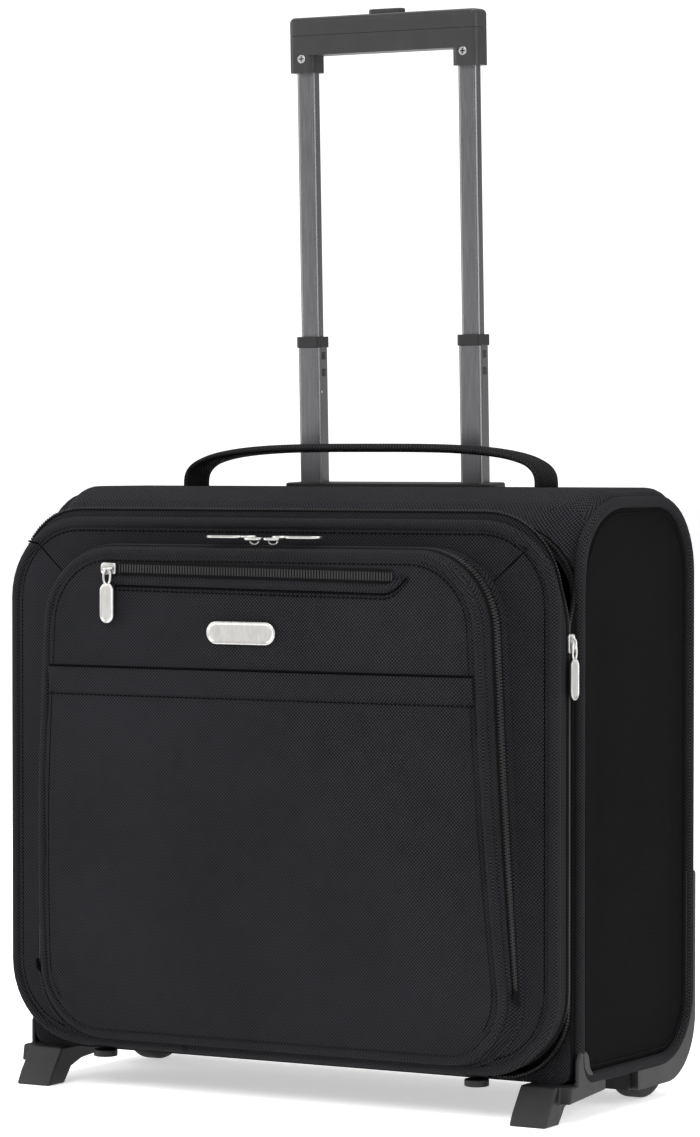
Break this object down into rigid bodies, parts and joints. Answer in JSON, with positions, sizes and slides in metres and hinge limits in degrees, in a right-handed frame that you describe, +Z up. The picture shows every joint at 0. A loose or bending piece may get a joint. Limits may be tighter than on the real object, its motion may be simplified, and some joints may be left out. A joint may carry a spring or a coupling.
{
  "type": "rolling laptop case",
  "caption": "Soft upright laptop case on two rear wheels and front feet, with a two-stage pull handle, a zip-open front panel, a box pocket and a carry handle.",
  "frame": {"origin": "on the floor under the middle of the whole object's box", "axes": "+Z up, +X to the right seen from the front, front faces -Y"},
  "size_m": [0.4442, 0.2448, 0.7702],
  "materials": {
    "side_fabric": "fine woven polyester",
    "front_fabric": "coarse ballistic nylon weave",
    "piping_cord": "woven welt cord",
    "zip_coil": "nylon coil on woven tape",
    "padding": "brushed lining over foam",
    "webbing": "padded webbing",
    "board": "fibre stiffener",
    "dark_tube": "dark satin anodised",
    "black_plastic": "moulded, fine spark texture",
    "grip_plastic": "moulded satin",
    "steel": "zinc plated",
    "nickel": "satin nickel",
    "tyre_rubber": "moulded rubber"
  },
  "bodies": {
    "case": {"side_panel_left": "side_fabric", "side_panel_right": "side_fabric", "top_panel": "front_fabric", "bottom_panel": "front_fabric", "back_panel": "side_fabric", "mouth_zip": "zip_coil", "laptop_divider": "padding", "back_board": "board", "outer_tube_left": "dark_tube", "outer_tube_right": "dark_tube", "trolley_bracket": "black_plastic", "trolley_bezel": "black_plastic", "carry_handle": "webbing", "wheel_guard_left": "black_plastic", "wheel_guard_right": "black_plastic", "wheel_axles": "steel", "front_foot_left": "black_plastic", "front_foot_right": "black_plastic", "foot_screws": "steel", "base_studs": "nickel"},
    "trolley_middle": {"middle_tube_left": "dark_tube", "middle_tube_right": "dark_tube", "middle_collar_left": "black_plastic", "middle_collar_right": "black_plastic", "middle_guide_bushes": "black_plastic"},
    "trolley_upper": {"upper_tube_left": "dark_tube", "upper_tube_right": "dark_tube", "upper_lock_blocks": "black_plastic", "grip_lower_shell": "grip_plastic", "grip_upper_shell": "grip_plastic", "grip_screws": "steel", "button_spring": "steel"},
    "release_button": {"release_button": "grip_plastic", "lock_rods": "steel"},
    "wheel_left": {"tyre_left": "tyre_rubber", "wheel_hub_left": "black_plastic"},
    "wheel_right": {"tyre_right": "tyre_rubber", "wheel_hub_right": "black_plastic"},
    "front_panel": {"front_panel": "front_fabric", "panel_piping": "piping_cord", "panel_gusset": "front_fabric", "panel_zip": "zip_coil", "pocket_front": "front_fabric", "pocket_piping": "piping_cord", "pocket_gusset": "front_fabric", "pocket_band": "front_fabric", "badge": "nickel"},
    "small_slider": {"small_slider": "nickel"},
    "small_pull": {"small_pull": "nickel"},
    "main_slider_left": {"main_slider_left": "nickel"},
    "main_pull_left": {"main_pull_left": "nickel"},
    "pocket_slider_left": {"pocket_slider_left": "nickel"},
    "pocket_pull_left": {"pocket_pull_left": "nickel"},
    "main_slider_right": {"main_slider_right": "nickel"},
    "main_pull_right": {"main_pull_right": "nickel"},
    "pocket_slider_right": {"pocket_slider_right": "nickel"},
    "pocket_pull_right": {"pocket_pull_right": "nickel"}
  },
  "joints": [
    {"name": "trolley_middle_slide", "type": "slide", "parent": "case", "child": "trolley_middle", "axis": [0, -0.0325, 0.9995], "range_m": [-0.097, 0]},
    {"name": "trolley_upper_slide", "type": "slide", "parent": "trolley_middle", "child": "trolley_upper", "axis": [0, -0.0325, 0.9995], "range_m": [-0.19, 0]},
    {"name": "release_press", "type": "slide", "parent": "trolley_upper", "child": "release_button", "axis": [0, -0.0325, 0.9995], "range_m": [-0.0035, 0], "stiffness_N_per_m": 600, "springref_m": 0.006, "deforming": ["button_spring"]},
    {"name": "wheel_left_spin", "type": "hinge", "parent": "case", "child": "wheel_left", "pos_m": [-0.1995, 0.07, 0.034], "axis": [1, 0, 0], "continuous": true},
    {"name": "wheel_right_spin", "type": "hinge", "parent": "case", "child": "wheel_right", "pos_m": [0.1995, 0.07, 0.034], "axis": [1, 0, 0], "continuous": true},
    {"name": "front_panel_open", "type": "hinge", "parent": "case", "child": "front_panel", "pos_m": [0, -0.084, 0.0315], "axis": [1, 0, 0], "range_deg": [0, 85]},
    {"name": "main_slider_left_run", "type": "slide", "parent": "case", "child": "main_slider_left", "axis": [0, 0, 1], "range_m": [-0.2226, 0]},
    {"name": "main_pull_left_swing", "type": "hinge", "parent": "main_slider_left", "child": "main_pull_left", "pos_m": [-0.2211, -0.0695, 0.326], "axis": [0, 1, 0], "range_deg": [0, 110]},
    {"name": "pocket_slider_left_run", "type": "slide", "parent": "front_panel", "child": "pocket_slider_left", "axis": [-1, 0, 0], "range_m": [0, 0.1]},
    {"name": "pocket_pull_left_lift", "type": "hinge", "parent": "pocket_slider_left", "child": "pocket_pull_left", "pos_m": [-0.005, -0.105, 0.39335], "axis": [0, 1, 0], "range_deg": [0, 100]},
    {"name": "main_slider_right_run", "type": "slide", "parent": "case", "child": "main_slider_right", "axis": [0, 0, 1], "range_m": [-0.2226, 0]},
    {"name": "main_pull_right_swing", "type": "hinge", "parent": "main_slider_right", "child": "main_pull_right", "pos_m": [0.2211, -0.0695, 0.326], "axis": [0, -1, 0], "range_deg": [0, 110]},
    {"name": "pocket_slider_right_run", "type": "slide", "parent": "front_panel", "child": "pocket_slider_right", "axis": [1, 0, 0], "range_m": [0, 0.1]},
    {"name": "pocket_pull_right_lift", "type": "hinge", "parent": "pocket_slider_right", "child": "pocket_pull_right", "pos_m": [0.005, -0.105, 0.39335], "axis": [0, -1, 0], "range_deg": [0, 100]},
    {"name": "small_slider_run", "type": "slide", "parent": "front_panel", "child": "small_slider", "axis": [0.9999, 0, -0.0138], "range_m": [0, 0.21]},
    {"name": "small_pull_swing", "type": "hinge", "parent": "small_slider", "child": "small_pull", "pos_m": [-0.118, -0.1216, 0.373], "axis": [-1, 0, 0], "range_deg": [0, 110]}
  ],
  "couplings": [
    {"joint": "main_slider_left_run", "follows": "front_panel_open", "m_per_rad": -0.15},
    {"joint": "main_slider_right_run", "follows": "front_panel_open", "m_per_rad": -0.15}
  ]
}
